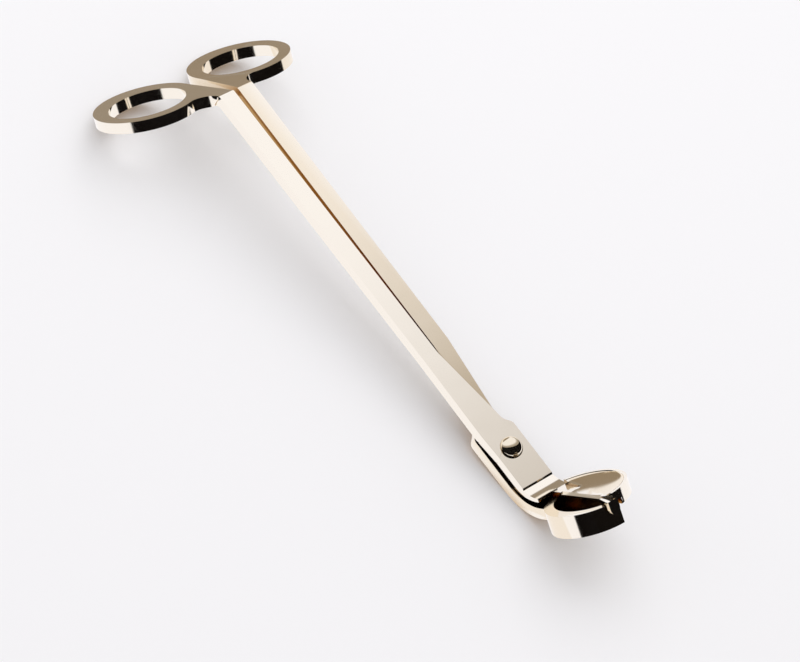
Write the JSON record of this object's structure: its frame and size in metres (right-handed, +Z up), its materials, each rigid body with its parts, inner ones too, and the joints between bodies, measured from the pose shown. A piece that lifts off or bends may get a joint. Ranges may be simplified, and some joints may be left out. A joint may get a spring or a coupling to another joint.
{
  "type": "wick trimmer",
  "caption": "Long scissor-like candle wick trimmer with bent finger rings, an upturned head, a debris tray under one cutting edge and a dished blade, joined by a domed rivet.",
  "frame": {"origin": "on the surface it lies on, under the middle of its bounding box", "axes": "+X along the trimmer towards the head, +Y towards the tray lever's finger ring, +Z up, with the trimmer lying on its ring ends and on the heel of its head bend"},
  "size_m": [0.1816, 0.0578, 0.0265],
  "materials": {
    "plated_lever": "mirror-polished pale gold plating over cast steel",
    "plated_rivet": "polished pale gold plating over a steel rivet"
  },
  "bodies": {
    "tray_side": {"tray_lever": "plated_lever", "pivot_rivet": "plated_rivet"},
    "blade_side": {"blade_lever": "plated_lever"}
  },
  "joints": [
    {"name": "rivet_pivot", "type": "hinge", "parent": "tray_side", "child": "blade_side", "pos_m": [0.05401, 0, 0.00746], "axis": [0.1422, 0, 0.9898], "range_deg": [0, 25]}
  ]
}
